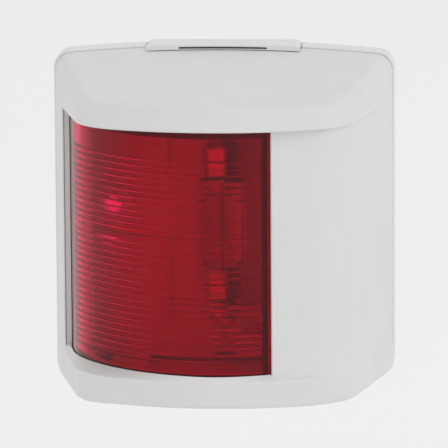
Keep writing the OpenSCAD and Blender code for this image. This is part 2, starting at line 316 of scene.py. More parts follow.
# ------------------------------------------------------------------ outlines
def plan(R, apex, inl=0.0, inr=0.0, rc=6.0, back=COV_Y, ns=20, nc=12, nf=56, chamfer=0.0):
    """Plan of the cover, from the left back corner round the front to the right back corner: points and inward normals."""

    def half(inset):
        d = np.array([-0.24254, -0.97014])
        n = np.array([-0.97014, 0.24254])
        p0 = np.array([HW, -COV_Y])
        A = np.array([0, R - apex])
        q = p0 + (inset + rc) * n - A
        qd = q @ d
        t = -qd + math.sqrt(qd * qd - q @ q + (R - rc) ** 2)
        C = A + q + t * d
        S = p0 + inset * n + t * d
        T = A + (C - A) * R / (R - rc)
        u = (-back - (p0 + inset * n)[1]) / d[1]
        B = p0 + inset * n + u * d
        P, N = [], []
        aT = math.atan2(T[1] - A[1], T[0] - A[0])
        for k in range(nf // 2 + 1):
            f = -math.pi / 2 + (aT + math.pi / 2) * k / (nf // 2)
            v = np.array([math.cos(f), math.sin(f)])
            P.append(A + R * v)
            N.append(-v)
        e0 = math.atan2(T[1] - C[1], T[0] - C[0])
        e1 = math.atan2(S[1] - C[1], S[0] - C[0])
        for k in range(1, nc + 1):
            f = e0 + (e1 - e0) * k / nc
            v = np.array([math.cos(f), math.sin(f)])
            P.append(C + rc * v)
            N.append(-v)
        L = np.linalg.norm(B - S)
        ts = list(np.linspace(0, 1, ns + 1)[1:-1])
        if chamfer > 0:
            ts.append(1 - chamfer / L)
        ts.append(1.0)
        for t in ts:
            P.append(S + (B - S) * t)
            N.append(n.copy())
        if chamfer > 0:
            P[-1] = P[-1] + np.array([-chamfer, 0])
        return np.array(P), np.array(N)

    PR, NR = half(inr)
    PL, NL = half(inl)
    PL[:, 0] *= -1
    NL[:, 0] *= -1
    return np.vstack([PL[::-1][:-1], PR]), np.vstack([NL[::-1][:-1], NR])


def closed_plan(*a, **k):
    P, _ = plan(*a, **k)
    return P[::1]


def ztop(x, y, drop=0.0):
    c = CROWN_Z + (y + COV_Y) * TILT
    return c - (CROWN_R - np.sqrt(CROWN_R**2 - np.asarray(x) ** 2)) / math.cos(math.atan(TILT)) - drop


def smooth(a, b, x):
    t = min(1.0, max(0.0, (x - a) / (b - a)))
    return t * t * (3 - 2 * t)


def tab_outline(g=0.0, n=12):
    """Outline of the catch seen from the front, grown by g: its underside follows the arch of the hood. z is without UP."""
    P = [(x, 36.92 - g - x * x / 780) for x in np.linspace(0.3 - TAB_X, TAB_X - 0.3, 2 * n + 1)]
    return P + [(TAB_X + g, 37.6)] + ([(TAB_X - 1.5 + g, 38.2), (1.5 - TAB_X - g, 38.2)]) + [(-TAB_X - g, 37.6)]


def hood(o=0.0, si=0.0, back=COV_Y, zb=BRIM_Z, drop=0.0, ch=0.0, edge=0.4, rs=4.0, rf=1.1, seg=9, ntop=26, fine=1.0):
    """Solid of the hood: sides and leaning front band, rolled over into the sloping arched top."""
    P, N = plan(BRIM_R - o, BRIM_Y - o, o, o, rc=16.0 - o, back=back, chamfer=ch, ns=18, nf=int(60 * fine), nc=int(24 * fine))
    n = len(P)
    arc = np.r_[0, np.cumsum(np.linalg.norm(np.diff(P, axis=0), axis=1))]
    f = arc / arc[-1]
    prof = []
    for i in range(n):
        p, nn = P[i], N[i]
        dy = -back - p[1]
        sgn = -1.0 if p[0] < 0 else 1.0
        w = smooth(0, 14, dy)
        d = np.array([-sgn, 0.0]) * (1 - w) + nn * w
        if abs(p[0]) < 1e-6:
            d = nn.copy()
        d /= np.linalg.norm(d)
        front = smooth(0.55, 0.9, abs(nn[1]))
        lam = 0.012 + 0.43 * front
        r = rs + (rf - rs) * smooth(0.45, 0.95, abs(nn[1]))
        r = max(0.6, r - o)
        low = ch if (ch > 0 and i in (0, n - 1)) else 0.0
        zt = lambda u: float(ztop(p[0] + u * d[0], p[1] + u * d[1], drop + low))
        us = 1.0
        for _ in range(30):
            us = lam * (zt(us) - zb)
        zs = zt(us)
        m = (zt(us + 0.5) - zt(us - 0.5)) / 1.0
        a = np.array([-lam, -1.0])
        a /= np.linalg.norm(a)
        b = np.array([1.0, m])
        b /= np.linalg.norm(b)
        th = math.acos(float(a @ b))
        t = r / math.tan(th / 2)
        c = np.array([us, zs]) + (a + b) / np.linalg.norm(a + b) * r / math.sin(th / 2)
        q0, q1 = np.array([us, zs]) + a * t - c, np.array([us, zs]) + b * t - c
        a0, a1 = math.atan2(q0[1], q0[0]), math.atan2(q1[1], q1[0])
        da = (a1 - a0 + math.pi) % (2 * math.pi) - math.pi
        uz = []
        if edge > 0:
            uz.append((2.2, zb))
            for k in range(4):
                g = math.pi / 2 * k / 3
                uz.append((edge * (1 - math.sin(g)) + lam * edge * 0.5, zb + edge * (1 - math.cos(g))))
        else:
            uz.append((0.0, zb))
        z1 = c[1] + q0[1]
        for k in (0.33, 0.66):
            z = zb + edge + (z1 - zb - edge) * k
            uz.append((lam * (z - zb), z))
        for k in range(seg + 1):
            g = a0 + da * k / seg
            uz.append((c[0] + r * math.cos(g), c[1] + r * math.sin(g)))
        p = p + np.array([-sgn, 0.0]) * si * (1 - smooth(0, 9, dy)) if abs(p[0]) > 20 else p
        row = [(p[0] + u * d[0], p[1] + u * d[1], z) for u, z in uz]
        e = np.array(row[-1][:2])
        xe = HW - o - si - rs - 0.1
        tgt = np.array([-xe + 2 * xe * f[i], -back])
        if i == 0:
            tgt = np.array([e[0], -back])
        if i == n - 1:
            tgt = np.array([e[0], -back])
        L = np.linalg.norm(tgt - e)
        ks = list(np.linspace(0, 1, ntop + 1)[1:])
        if ch > 0:
            run = max(1e-6, abs(tgt[1] - e[1]))
            ks[-2] = max(ks[-3] if run < 1 else ks[-2], 1 - ch / run) if run > ch else ks[-2]
        for j, k in enumerate(ks):
            q = e + (tgt - e) * k
            low2 = ch if (ch > 0 and j == len(ks) - 1) else low
            row.append((q[0], q[1], float(ztop(q[0], q[1], drop + (low if i in (0, n - 1) else low2)))))
        # meet the rounded arris exactly where the top starts
        prof.append(row)
    G = np.array(prof)  # n x m x 3
    m = G.shape[1]
    V = G.reshape(-1, 3)
    F = []
    for i in range(n - 1):
        for j in range(m - 1):
            F.append([i * m + j, (i + 1) * m + j, (i + 1) * m + j + 1, i * m + j + 1])
    F.append([i * m for i in range(n)][::-1])
    back_loop = [0 * m + j for j in range(m)] + [i * m + m - 1 for i in range(1, n)] + [(n - 1) * m + j for j in range(m - 2, -1, -1)]
    F.append(back_loop)
    return raw(V, F)


def case_loop(o=0.0, rf=4.0, rb=3.0, nt=60, nc=9, ns=10):
    """Outline of the case seen from the front, inset by o: closed loop of (x, z), counter-clockwise."""
    R = CROWN_R - o
    zc = CROWN_Z - CROWN_R
    cx = HW - o - rf
    cz = zc + math.sqrt((R - rf) ** 2 - cx * cx)
    tx = cx * R / (R - rf)
    b = BOT_Z + o
    P = []
    x0 = HW - o - rb
    for x in np.linspace(-x0, x0, 41):
        P.append((x, b))
    for k in range(1, nc + 1):
        f = -math.pi / 2 + math.pi / 2 * k / nc
        P.append((x0 + rb * math.cos(f), b + rb + rb * math.sin(f)))
    for k in range(1, ns + 1):
        P.append((HW - o, b + rb + (cz - b - rb) * k / ns))
    a1 = math.atan2(cz - zc, cx)
    for k in range(1, nc + 1):
        f = a1 * k / nc
        P.append((cx + rf * math.cos(f), cz + rf * math.sin(f)))
    for k in range(1, nt + 1):
        x = tx - 2 * tx * k / nt
        P.append((x, zc + math.sqrt(R * R - x * x)))
    for k in range(1, nc + 1):
        f = math.pi - a1 + a1 * k / nc
        P.append((-cx + rf * math.cos(f), cz + rf * math.sin(f)))
    for k in range(1, ns + 1):
        P.append((-(HW - o), cz + (b + rb - cz) * k / ns))
    for k in range(1, nc):
        f = math.pi + math.pi / 2 * k / nc
        P.append((-x0 + rb * math.cos(f), b + rb + rb * math.sin(f)))
    return np.array(P)


def case_ring(o, y, rf, rb):
    L = case_loop(o, rf, rb)
    return np.c_[L[:, 0], np.full(len(L), y), L[:, 1]]


def swell(a):
    """How far the lens stands outside its circle at angle a, degrees."""
    return 0.70 * (1 - smooth(186, 232, a))


def groove_swell(a):
    """The groove follows the lens and opens out at its left end."""
    return swell(a) + 0.14 * (1 - smooth(181, 187, a))


def wedge(a0, a1, z0, z1, r=90):
    A = [(0, -BULB_Y)]
    for k in range(7):
        f = math.radians(a0 + (a1 - a0) * k / 6)
        A.append((r * math.cos(f), -BULB_Y + r * math.sin(f)))
    return prism(A, z0, z1)


def tube(P, r, seg=10, closed=False):
    """Round wire of radius r along the points P."""
    P = np.array(P, float)
    n = len(P)
    T = np.gradient(P, axis=0)
    T /= np.linalg.norm(T, axis=1)[:, None]
    u = np.cross(T[0], [0.3, 0.9, 0.31])
    u /= np.linalg.norm(u)
    L = []
    for i in range(n):
        u = u - T[i] * (u @ T[i])
        u /= np.linalg.norm(u)
        v = np.cross(T[i], u)
        f = np.linspace(0, 2 * math.pi, seg, endpoint=False)
        L.append(P[i] + r * (np.cos(f)[:, None] * u + np.sin(f)[:, None] * v))
    return rings(L)


def bend_path(P, R, seg=5):
    """Open polyline with its corners rounded."""
    P = [np.array(p, float) for p in P]
    out = [P[0]]
    for i in range(1, len(P) - 1):
        p, a, b = P[i], P[i - 1], P[i + 1]
        u, v = (a - p) / np.linalg.norm(a - p), (b - p) / np.linalg.norm(b - p)
        th = math.acos(max(-1, min(1, float(u @ v))))
        t = min(R / math.tan(th / 2), 0.45 * np.linalg.norm(a - p), 0.45 * np.linalg.norm(b - p))
        for k in range(seg + 1):
            s = k / seg
            out.append((p + u * t) * (1 - s) ** 2 + p * 2 * s * (1 - s) + (p + v * t) * s * s)
    out.append(P[-1])
    return np.array(out)


def strip(path, half_w, t, e=0.06):
    """Sheet strip: centre line in (y, z), width along x given per point or as one number, thickness t."""
    P = np.array(path, float)
    T = np.gradient(P, axis=0)
    T /= np.linalg.norm(T, axis=1)[:, None]
    N = np.c_[-T[:, 1], T[:, 0]]
    w = np.full(len(P), half_w) if np.isscalar(half_w) else np.array(half_w, float)
    L = []
    for p, nn, h in zip(P, N, w):
        a = t / 2
        sec = [(-h + e, -a), (h - e, -a), (h, -a + e), (h, a - e), (h - e, a), (-h + e, a), (-h, a - e), (-h, -a + e)]
        L.append(np.array([(x, p[0] + nn[0] * q, p[1] + nn[1] * q) for x, q in sec]))
    return rings(L)


# ------------------------------------------------------------------ materials
def ramp_mix(nt, fac, a, b):
    m = nt.nodes.new("ShaderNodeMix")
    m.data_type = "RGBA"
    m.inputs[6].default_value = (*a, 1)
    m.inputs[7].default_value = (*b, 1)
    nt.links.new(fac, m.inputs[0])
    return m.outputs[2]


def mat(name, base, dark, rough=0.4, rough_var=0.1, metallic=0.0, scale=60.0, grain=2500.0, bump=0.04, trans=0.0, ior=1.5,
        coat=0.0, dirt=None, dirt_amt=0.0, stretch=(1, 1, 1), spec=0.5, alpha=1.0, sss=0.0, spots=0.0, spot_col=(0.2, 0.18, 0.16), coat_rough=0.1):
    m = bpy.data.materials.new(name)
    m.use_nodes = True
    nt = m.node_tree
    p = nt.nodes["Principled BSDF"]
    tc = nt.nodes.new("ShaderNodeTexCoord")
    mp = nt.nodes.new("ShaderNodeMapping")
    mp.inputs["Scale"].default_value = stretch
    nt.links.new(tc.outputs["Object"], mp.inputs["Vector"])

    def noise(s, detail=4.0, rough_=0.55):
        n = nt.nodes.new("ShaderNodeTexNoise")
        n.inputs["Scale"].default_value = s
        n.inputs["Detail"].default_value = detail
        n.inputs["Roughness"].default_value = rough_
        nt.links.new(mp.outputs["Vector"], n.inputs["Vector"])
        return n.outputs["Fac"]

    def span(src, a, b, c=0.0, d=1.0):
        r = nt.nodes.new("ShaderNodeMapRange")
        r.inputs["From Min"].default_value = a
        r.inputs["From Max"].default_value = b
        r.inputs["To Min"].default_value = c
        r.inputs["To Max"].default_value = d
        nt.links.new(src, r.inputs["Value"])
        return r.outputs["Result"]

    n1 = noise(scale)
    col = ramp_mix(nt, span(n1, 0.3, 0.7), dark, base)
    if dirt is not None:
        n2 = noise(scale * 3.1, 8.0, 0.65)
        f = span(n2, 0.58, 0.78, 0.0, dirt_amt)
        mx = nt.nodes.new("ShaderNodeMix")
        mx.data_type = "RGBA"
        nt.links.new(f, mx.inputs[0])
        nt.links.new(col, mx.inputs[6])
        mx.inputs[7].default_value = (*dirt, 1)
        col = mx.outputs[2]
    if spots > 0:
        vo = nt.nodes.new("ShaderNodeTexVoronoi")
        vo.inputs["Scale"].default_value = 150.0
        nt.links.new(mp.outputs["Vector"], vo.inputs["Vector"])
        f = span(vo.outputs["Distance"], 0.05, 0.02, 0.0, 1.0)
        g = nt.nodes.new("ShaderNodeMath")
        g.operation = "MULTIPLY"
        nt.links.new(f, g.inputs[0])
        sep = span(noise(40.0), 0.52, 0.6, 0.0, spots)
        nt.links.new(sep, g.inputs[1])
        mx = nt.nodes.new("ShaderNodeMix")
        mx.data_type = "RGBA"
        nt.links.new(g.outputs[0], mx.inputs[0])
        nt.links.new(col, mx.inputs[6])
        mx.inputs[7].default_value = (*spot_col, 1)
        col = mx.outputs[2]
    nt.links.new(col, p.inputs["Base Color"])
    nt.links.new(span(noise(scale * 2.3, 6.0), 0.3, 0.7, rough - rough_var, rough + rough_var), p.inputs["Roughness"])
    p.inputs["Metallic"].default_value = metallic
    p.inputs["IOR"].default_value = ior
    p.inputs["Transmission Weight"].default_value = trans
    p.inputs["Coat Weight"].default_value = coat
    p.inputs["Coat Roughness"].default_value = coat_rough
    p.inputs["Specular IOR Level"].default_value = spec
    p.inputs["Subsurface Weight"].default_value = sss
    if sss > 0:
        p.inputs["Subsurface Scale"].default_value = 0.001
    if alpha < 1:
        p.inputs["Alpha"].default_value = alpha
    b = nt.nodes.new("ShaderNodeBump")
    b.inputs["Strength"].default_value = bump
    b.inputs["Distance"].default_value = 0.0001
    nt.links.new(noise(grain, 5.0, 0.6), b.inputs["Height"])
    nt.links.new(b.outputs["Normal"], p.inputs["Normal"])
    return m


M_COVER = mat("cover_asa", (0.70, 0.70, 0.696), (0.675, 0.675, 0.672), rough=0.42, rough_var=0.06, scale=45, grain=2600, bump=0.05,
              dirt=(0.70, 0.69, 0.66), dirt_amt=0.10, spec=0.5, spots=0.35)
M_WHITE = mat("base_asa", (0.75, 0.75, 0.746), (0.72, 0.72, 0.716), rough=0.48, rough_var=0.07, scale=40, grain=2400, bump=0.06,
              dirt=(0.64, 0.63, 0.60), dirt_amt=0.14, spots=0.3)
M_RED = mat("red_acrylic", (1.0, 0.006, 0.100), (0.97, 0.004, 0.085), rough=0.11, rough_var=0.03, scale=50, grain=1800, bump=0.03,
            trans=0.975, ior=1.24, spec=0.5, coat=0.12, coat_rough=0.05, spots=0.25, spot_col=(0.75, 0.45, 0.45))
M_SEAL = mat("seal_epdm", (0.035, 0.034, 0.034), (0.022, 0.021, 0.021), rough=0.72, rough_var=0.1, scale=90, grain=3000, bump=0.25,
             dirt=(0.10, 0.095, 0.09), dirt_amt=0.3)
M_RUBBER = mat("grommet_rubber", (0.030, 0.029, 0.029), (0.018, 0.018, 0.018), rough=0.66, rough_var=0.1, scale=110, grain=2600, bump=0.2,
               dirt=(0.09, 0.085, 0.08), dirt_amt=0.3)
M_NICKEL = mat("nickel_strip", (0.74, 0.71, 0.64), (0.60, 0.56, 0.49), rough=0.30, rough_var=0.09, metallic=1.0, scale=160, grain=900,
               bump=0.12, stretch=(6, 1, 1), dirt=(0.38, 0.33, 0.26), dirt_amt=0.35)
M_CAP = mat("nickel_cap", (0.56, 0.54, 0.50), (0.45, 0.43, 0.39), rough=0.36, rough_var=0.08, metallic=1.0, scale=180, grain=1200,
            bump=0.08, dirt=(0.42, 0.38, 0.32), dirt_amt=0.3)
M_BRASS = mat("brass", (0.74, 0.55, 0.24), (0.56, 0.38, 0.14), rough=0.33, rough_var=0.1, metallic=1.0, scale=200, grain=1500,
              bump=0.1, dirt=(0.30, 0.21, 0.11), dirt_amt=0.5)
M_STEEL = mat("stainless", (0.66, 0.66, 0.65), (0.54, 0.54, 0.53), rough=0.30, rough_var=0.1, metallic=1.0, scale=180, grain=1400,
              bump=0.1, stretch=(1, 1, 4), dirt=(0.35, 0.29, 0.22), dirt_amt=0.25)
M_GLASS = mat("bulb_glass", (0.97, 0.985, 0.98), (0.93, 0.955, 0.95), rough=0.03, rough_var=0.02, scale=80, grain=500, bump=0.02,
              trans=1.0, ior=1.45)
M_TUNG = mat("tungsten", (0.26, 0.26, 0.28), (0.16, 0.16, 0.18), rough=0.42, rough_var=0.1, metallic=1.0, scale=400, grain=3000, bump=0.15)
M_BLACK = mat("screen_black", (0.026, 0.026, 0.027), (0.016, 0.016, 0.017), rough=0.62, rough_var=0.1, scale=80, grain=2200, bump=0.18,
              dirt=(0.07, 0.068, 0.065), dirt_amt=0.4)


# ------------------------------------------------------------------ finishing a piece
def finish_piece(o, name, body, material, replaces=None, angle=32.0, bevel=0.0):
    me = o.data
    me.transform(Matrix.Scale(0.001, 4))
    bm = bmesh.new()
    bm.from_mesh(me)
    bmesh.ops.remove_doubles(bm, verts=bm.verts, dist=1e-7)
    bmesh.ops.recalc_face_normals(bm, faces=bm.faces)
    lim = math.radians(angle)
    for e in bm.edges:
        e.smooth = len(e.link_faces) == 2 and e.calc_face_angle(0) < lim
    for f in bm.faces:
        f.smooth = True
    bm.to_mesh(me)
    bm.free()
    me.name = name
    o.name = name
    for c in list(o.users_collection):
        c.objects.unlink(o)
    bpy.context.scene.collection.objects.link(o)
    me.materials.clear()
    me.materials.append(material)
    w = o.modifiers.new("wn", "WEIGHTED_NORMAL")
    w.keep_sharp = True
    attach(o, body)
    if replaces:
        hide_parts(*([replaces] if isinstance(replaces, str) else replaces))
    return o


# ================================================================== the cover
def blend_dir(P, N):
    """Directions in which the outline is inset: square to it at the front, straight across at its ends."""
    D = []
    for p, nn in zip(P, N):
        s = -1.0 if p[0] < 0 else 1.0
        w = smooth(0, 14, -COV_Y - p[1])
        d = np.array([-s, 0.0]) * (1 - w) + nn * w
        D.append(d / np.linalg.norm(d))
    return np.array(D)


def lip_solid():
    P, N = plan(LIP_R, LIP_Y, 0, 0, rc=17.0, ns=14, nc=24, nf=64)
    D = blend_dir(P, N)
    front = np.array([smooth(0.62, 0.985, abs(nn[1])) if p[0] < 0 else smooth(0.42, 0.9, abs(nn[1])) for p, nn in zip(P, N)])
    back = np.array([1 - smooth(0.5, 5, -COV_Y - p[1]) for p in P])
    side_r = np.where(P[:, 0] > 0, 1.9 + 0.6 * back, 0.35 + 1.5 * back)
    H = CREASE_Z - BOT_Z
    hs = [0, 0.05, 0.15, 0.3, 0.5, 0.8, 1.2, 1.7, 2.3, 3.0, 4.6, H - 0.4, H - 0.25, H - 0.12, H]
    L = []
    for h in hs:
        r = 1.1
        uf = 1.4 * (1 - h / H) + (r - math.sqrt(max(0, r * r - (r - h) ** 2)) if h < r else 0)
        us = np.where(h < side_r, side_r - np.sqrt(np.maximum(0, side_r**2 - (side_r - h) ** 2)), 0)
        q = max(0.0, h - (H - 0.4)) / 0.4
        u = us + (uf - us) * front + 0.16 * q * q
        Q = P + D * u[:, None]
        L.append(np.c_[Q, np.full(len(Q), BOT_Z + h)])
    # ledge: rises from the crease to the foot of the lens, the wall and the strut
    inner_loop = []
    for p, d, fr in zip(P, D, front):
        t = math.degrees(math.atan2(p[1] + BULB_Y, p[0])) % 360
        a_ = p + d * (0.9 + 1.1 * fr)
        v = p - np.array([0, -BULB_Y])
        c_ = np.array([0, -BULB_Y]) + v / np.linalg.norm(v) * (LENS_R + 0.05 + swell(t))
        w = smooth(178, 196, t) * (1 - smooth(291, 297, t)) if 170 < t < 300 else 0.0
        inner_loop.append(a_ * (1 - w) + c_ * w)
    I = np.array(inner_loop)
    C = L[-1][:, :2]
    for k in (0.06, 0.14, 0.4, 0.7, 1.0):
        z = CREASE_Z + (FOOT_Z - CREASE_Z) * (k + 0.04 * math.sin(math.pi * k))
        L.append(np.c_[C + (I - C) * k, np.full(len(C), z)])
    return rings(L)


def bay(z0, z1):
    a = prism(closed_plan(84, 46.4, 2.4, 2.4, rc=10, back=5.0, nf=60), z0, z1)
    c = [(31 * math.cos(t), -BULB_Y + 31 * math.sin(t)) for t in np.linspace(0, 2 * math.pi, 128, endpoint=False)]
    b = prism(c, z0 - 1, z1 + 1)
    union(b, wedge(301, 375, z0 - 1, z1 + 1, 60), box(-45, 45, -12.6, -2.6, z0 - 1, z1 + 1))
    return common(a, b)


def plan_at(P, y):
    """x where the right half of an outline crosses y."""
    for i in range(len(P) - 1):
        a, b = P[i], P[i + 1]
        if a[0] > 5 and (a[1] - y) * (b[1] - y) <= 0 and a[1] != b[1]:
            return a[0] + (b[0] - a[0]) * (y - a[1]) / (b[1] - a[1])
    return P[-1][0]


# right wall: outer face, with its front arris rounded where it meets the lens
PW, NW = plan(84, 48.8, 0.4, 0.4, rc=13.0, ns=14, nc=24, nf=90)
ang = np.degrees(np.arctan2(PW[:, 1] + BULB_Y, PW[:, 0])) % 360
keep = [i for i in range(len(PW)) if PW[i, 0] > 0 and (ang[i] > A_RIGHT or ang[i] < 60)]
ray = np.array([math.cos(math.radians(A_RIGHT)), math.sin(math.radians(A_RIGHT))])
i0 = keep[0]
a, b = PW[i0 - 1], PW[i0]
den = ray[0] * (b - a)[1] - ray[1] * (b - a)[0]
o0 = np.array([0, -BULB_Y])
t = ((a - o0)[0] * (b - a)[1] - (a - o0)[1] * (b - a)[0]) / den
hit = o0 + ray * t
wall_poly = [o0 + ray * 20, hit] + [PW[i] for i in keep] + [np.array([24.0, -COV_Y])]
wall_poly = round_poly(wall_poly, [0, 0.55] + [0] * (len(keep) + 1), 6)

bay_cut = bay(LEDGE_Z - 3.4, BRIM_Z + 4.0)
wall = cut(prism(wall_poly, LEDGE_Z - 1.3, BRIM_Z + 1.6), bay(BOT_Z, 45))

# left strut
left = [PW[i] for i in range(len(PW)) if PW[i, 0] < 0 and PW[i, 1] > STRUT_Y]
xl = -plan_at(PW, STRUT_Y)
strut_poly = [np.array([-25.0, -COV_Y])] + left + [np.array([xl, STRUT_Y]), np.array([-25.0, STRUT_Y])]
strut_poly = round_poly(strut_poly, [0] * (len(left) + 1) + [0.35, 0], 4)
strut = cut(prism(strut_poly, LEDGE_Z - 1.4, BRIM_Z + 1.4), bay(BOT_Z, 45))

shell = hood(0.0, si=0.40, drop=0.50)
inner = hood(2.1, back=5.0, zb=BRIM_Z + 3.0, drop=2.3, edge=0.0)
cut(shell, inner)
lip = lip_solid()
cavP = closed_plan(LIP_R - 3.4, LIP_Y - 3.4, 3.1, 3.1, rc=13, back=5.0)
cut(lip, prism(cavP, BOT_Z + 2.0, LEDGE_Z - 3.3))
union(shell, lip, wall, strut, box(-11, 11, -9.6, -COV_Y - 0.001, 33.6 + UP, 35.2 + UP))
cut(shell, bay_cut)
cut(shell, sector([(SLOT_IN, LENS_BOT - 0.8), (SLOT_OUT, LENS_BOT - 0.8), (SLOT_OUT, LENS_TOP + 0.8), (SLOT_IN, LENS_TOP + 0.1)],
                  A_LEFT - 3.4, A_RIGHT + 3.4, 232, groove_swell))
REC = tab_outline(0.06)
REC_X = TAB_X + 0.06
REC = [p for p in REC if p[1] < 37.2] + [(REC_X, 37.3), (REC_X, 42.0), (-REC_X, 42.0), (-REC_X, 37.3)]
cut(shell, prism([(x, z + UP) for x, z in REC], -4.7, -9.3, "y"))
# narrow slot that parts the front of the strut from the post beside the lens
cut(shell, box(-36.93, -36.70, -17.0, -14.9, CREASE_Z + 1.0, BRIM_Z + 0.9))
cut(shell, box(-8.4, 8.4, -8.95, -7.05, 35.3 + UP, 38.3 + UP))
for s in (-1, 1):
    x0, x1 = sorted((s * 22.1, s * 26.8))
    union(shell, rod_x(2.1, x0, x1, 0.15))
corner = box(-50, 50, AX_Y, AX_Y + 5, BOT_Z - 1, AX_Z)
cut(corner, rod_x(2.1, -60, 60))
cut(shell, corner)
for s in (-1, 1):
    x0, x1 = sorted((s * 17.6, s * 22.25))
    cut(shell, box(x0, x1, -11, -5, BOT_Z - 1, BOT_Z + 4.3))
    x0, x1 = sorted((s * 22.05, s * 27.05))
    cut(shell, rod_x(PIN_R + 0.06, x0, x1), box(x0, x1, AX_Y, AX_Y + 4, AX_Z - 0.95, AX_Z + 0.95))
for z in (-18, 18):
    M = Matrix.Translation((0, -BULB_Y, z)) @ Matrix.Rotation(math.radians(298.9), 4, "Z") @ Matrix.Rotation(math.pi / 2, 4, "Y")
    cut(shell, cyl(1.0, 0, 33.4, M, 24))
finish_piece(shell, "cover_shell", "cover", M_COVER, "front_cover")

# ================================================================== the lens
def lens_solid(steps):
    """Sector lens: smooth outside, horizontal prisms inside with a wider flat at mid height, a plain band at the top."""
    ro, ri = LENS_R, LENS_R - LENS_T
    z0 = LEDGE_Z + 2.0
    n = int((19.2 - z0) / 1.5)
    zo = list(np.linspace(LENS_BOT + 0.15, LENS_TOP - 0.15, 12))
    ribs = []
    for i in range(n):
        b = z0 + i * 1.5
        if abs(b + 0.6) < 0.75:  # wider flat at the height of the bulb's middle
            ribs += [(0.0, b), (0.34, b + 0.12), (0.34, b + 0.9), (0.30, b + 1.2), (0.0, b + 1.36)]
        else:
            ribs += [(0.0, b), (0.04, b + 0.66), (0.21, b + 0.88), (0.21, b + 1.0), (0.0, b + 1.34)]
    L = []
    A0, A1 = A_LEFT - 2, A_RIGHT + 2
    angs = sorted(set(list(np.linspace(A0, A1, steps + 1))))
    for a_ in angs:
        f = math.radians(a_)
        P = [(ri, LENS_BOT), (ro - 0.15, LENS_BOT)]
        P += [(ro, z) for z in zo]
        P += [(ro - 0.15, LENS_TOP), (ri, LENS_TOP)]
        # prisms fade out before both ends of the sector
        e = smooth(A0 + 6, A0 + 12, a_) * (1 - smooth(A1 - 5, A1 - 3.2, a_))
        P += [(ri + r * (0.15 + 0.85 * e), z) for r, z in ribs[::-1]]
        P = np.array(P)
        P[:, 0] += swell(a_)
        L.append(np.c_[P[:, 0] * math.cos(f), -BULB_Y + P[:, 0] * math.sin(f), P[:, 1]])
    return rings(L)


lens = lens_solid(124)
finish_piece(lens, "red_lens", "cover", M_RED, "lens", angle=14)

seal = sector([(SLOT_IN, LENS_BOT - 0.8), (LENS_R + 0.1, LENS_BOT - 0.8), (LENS_R + 0.1, LENS_TOP + 0.8), (SLOT_IN, LENS_TOP + 0.8)],
              A_LEFT - 3.4, A_RIGHT + 3.4, 116, swell)
cut(seal, sector([(SLOT_IN - 1, LENS_BOT), (SLOT_OUT + 1, LENS_BOT), (SLOT_OUT + 1, LENS_TOP), (SLOT_IN - 1, LENS_TOP)],
                 A_LEFT - 2.0, A_RIGHT + 2.0, 116, swell))
# inner lips of the black gasket along the top and foot of the lens and up its right end; the top lip is also painted
# shade, a dark strip standing in for the shadow the brim casts on the top of the lens
lip_in, lip_out = LENS_R - LENS_T - 0.85, LENS_R - LENS_T - 0.06
union(seal, sector([(lip_in, BRIM_Z - 1.9), (lip_out, BRIM_Z - 2.1), (lip_out, BRIM_Z + 1.0), (lip_in, BRIM_Z + 1.0)], A_LEFT + 2.6, A_RIGHT - 0.6, 100, swell),
      sector([(lip_in, LEDGE_Z - 0.5), (lip_out, LEDGE_Z - 0.5), (lip_out, LEDGE_Z + 0.12), (lip_in, LEDGE_Z + 0.05)], A_LEFT + 2.6, A_RIGHT - 0.6, 100, swell),
      sector([(lip_in, LEDGE_Z - 0.2), (lip_out, LEDGE_Z - 0.2), (lip_out, BRIM_Z + 0.9), (lip_in, BRIM_Z + 0.9)], A_RIGHT - 2.1, A_RIGHT - 0.1, 6, swell))
finish_piece(seal, "lens_gasket", "cover", M_SEAL, "lens_seal")

# ================================================================== light screen and its rivets
scr = sector(round_poly([(30, -27.5), (30.95, -27.5), (30.95, 24.5), (30, 24.5)], 0.15, 2), A_RIGHT - 0.9, 345, 60)
for z in (-18, 18):
    M = Matrix.Translation((0, -BULB_Y, z)) @ Matrix.Rotation(math.radians(298.9), 4, "Z") @ Matrix.Rotation(math.pi / 2, 4, "Y")
    cut(scr, cyl(1.0, 0, 33, M, 32))
finish_piece(scr, "screen_sheet", "cover", M_BLACK, "light_screen")
riv = None
for z in (-18, 18):
    M = Matrix.Translation((0, -BULB_Y, z)) @ Matrix.Rotation(math.radians(298.9), 4, "Z") @ Matrix.Rotation(math.pi / 2, 4, "Y")
    dome = [(0, 29.2), (0.9, 29.24), (1.5, 29.36), (1.88, 29.6), (2.0, 29.88), (1.0, 29.88), (1.0, 33.0), (0.85, 33.1), (0, 33.1)]
    r1 = revolve(dome, 32, M)
    riv = r1 if riv is None else union(riv, r1)
finish_piece(riv, "screen_rivet_pair", "cover", M_BLACK, "screen_rivets")


# ================================================================== the base moulding
def loft_case(spec):
    """spec: (inset, y) per loop; corner radii shrink with the inset as in the case itself."""
    return [case_ring(o, -y, max(0.6, 4 - o), max(0.5, 3 - o)) for o, y in spec]


